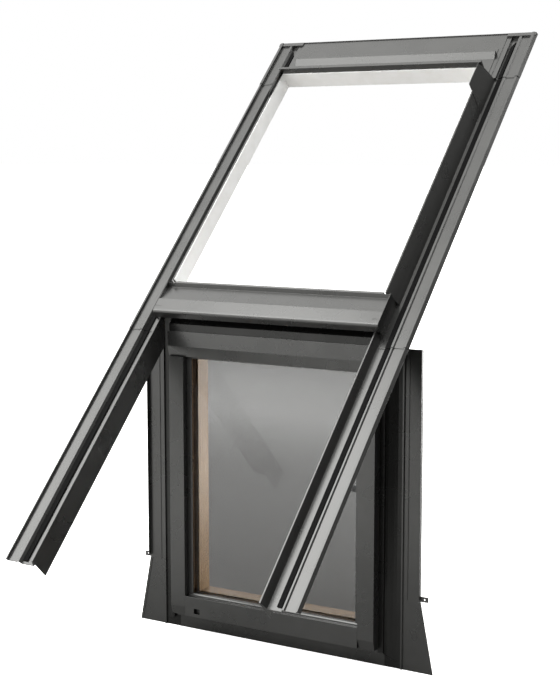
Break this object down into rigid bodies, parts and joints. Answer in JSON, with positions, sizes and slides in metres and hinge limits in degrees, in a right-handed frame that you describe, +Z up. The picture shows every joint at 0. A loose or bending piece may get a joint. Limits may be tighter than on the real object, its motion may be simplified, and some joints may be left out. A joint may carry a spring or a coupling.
{
  "type": "knee wall window",
  "caption": "Low wall window with an inward-opening pine sash, joined by folded grey flashing to a sloping frame that surrounds a roof window opening.",
  "frame": {"origin": "centre of the underside of the window frame's sill", "axes": "+X right seen from outside, +Y into the room, +Z up"},
  "size_m": [1.02, 1.5007, 1.8504],
  "materials": {
    "pine": "clear lacquer",
    "gasket_rubber": "matte",
    "foam_seal": "matte open foam",
    "glass": "clear",
    "spacer_aluminium": "satin",
    "pale_strip": "satin",
    "zinc_steel": "zinc plated",
    "coated_steel": "dark grey powder coat",
    "handle_aluminium": "satin anodised",
    "coated_aluminium": "semi-gloss grey coating"
  },
  "bodies": {
    "frame": {"bracket_screws": "zinc_steel", "channel_seal_left": "foam_seal", "channel_seal_right": "foam_seal", "fixing_bracket_left": "coated_steel", "fixing_bracket_right": "coated_steel", "frame_gasket": "gasket_rubber", "frame_head": "pine", "frame_jamb_left": "pine", "frame_jamb_right": "pine", "frame_sill": "pine", "head_cover": "coated_aluminium", "head_flashing": "coated_aluminium", "hinge_frame_leaf_bottom": "zinc_steel", "hinge_frame_leaf_top": "zinc_steel", "hinge_pins": "zinc_steel", "jamb_cover_left": "coated_aluminium", "jamb_cover_right": "coated_aluminium", "leg_flashing_left": "coated_aluminium", "leg_flashing_right": "coated_aluminium", "lintel_cover": "coated_aluminium", "lintel_flashing": "coated_aluminium", "lock_keeps": "zinc_steel", "side_flashing_left": "coated_aluminium", "side_flashing_right": "coated_aluminium", "side_gutter_left": "coated_aluminium", "side_gutter_right": "coated_aluminium", "sill_apron": "coated_aluminium", "sill_cover": "coated_aluminium", "transom_hood": "coated_aluminium", "transom_sill": "coated_aluminium", "upstand_strip_head": "pale_strip", "upstand_strip_left": "pale_strip", "upstand_strip_right": "pale_strip", "wall_flange_left": "coated_aluminium", "wall_flange_right": "coated_aluminium"},
    "sash": {"gear_case": "zinc_steel", "glazing_bead_head": "pine", "glazing_bead_left": "pine", "glazing_bead_right": "pine", "glazing_bead_sill": "pine", "glazing_gasket": "gasket_rubber", "handle_rose": "handle_aluminium", "hinge_sash_leaf_bottom": "zinc_steel", "hinge_sash_leaf_top": "zinc_steel", "inner_pane": "glass", "outer_pane": "glass", "pane_spacer": "spacer_aluminium", "sash_bottom_rail": "pine", "sash_cladding_head": "coated_aluminium", "sash_cladding_left": "coated_aluminium", "sash_cladding_right": "coated_aluminium", "sash_stile_left": "pine", "sash_stile_right": "pine", "sash_top_rail": "pine", "sash_weather_bar": "coated_aluminium"},
    "handle": {"drive_pinion": "zinc_steel", "handle_lever": "handle_aluminium"},
    "lock_bar": {"lock_cams": "zinc_steel", "lock_rod": "zinc_steel"}
  },
  "joints": [
    {"name": "sash_turn", "type": "hinge", "parent": "frame", "child": "sash", "pos_m": [-0.357, 0.027, 0], "axis": [0, 0, 1], "range_deg": [0, 90]},
    {"name": "handle_turn", "type": "hinge", "parent": "sash", "child": "handle", "pos_m": [0.315, 0.033, 0.4725], "axis": [0, -1, 0], "range_deg": [0, 90]},
    {"name": "lock_slide", "type": "slide", "parent": "sash", "child": "lock_bar", "axis": [0, 0, 1], "range_m": [0, 0.0118]}
  ],
  "couplings": [
    {"joint": "lock_slide", "follows": "handle_turn", "m_per_rad": 0.0075}
  ]
}
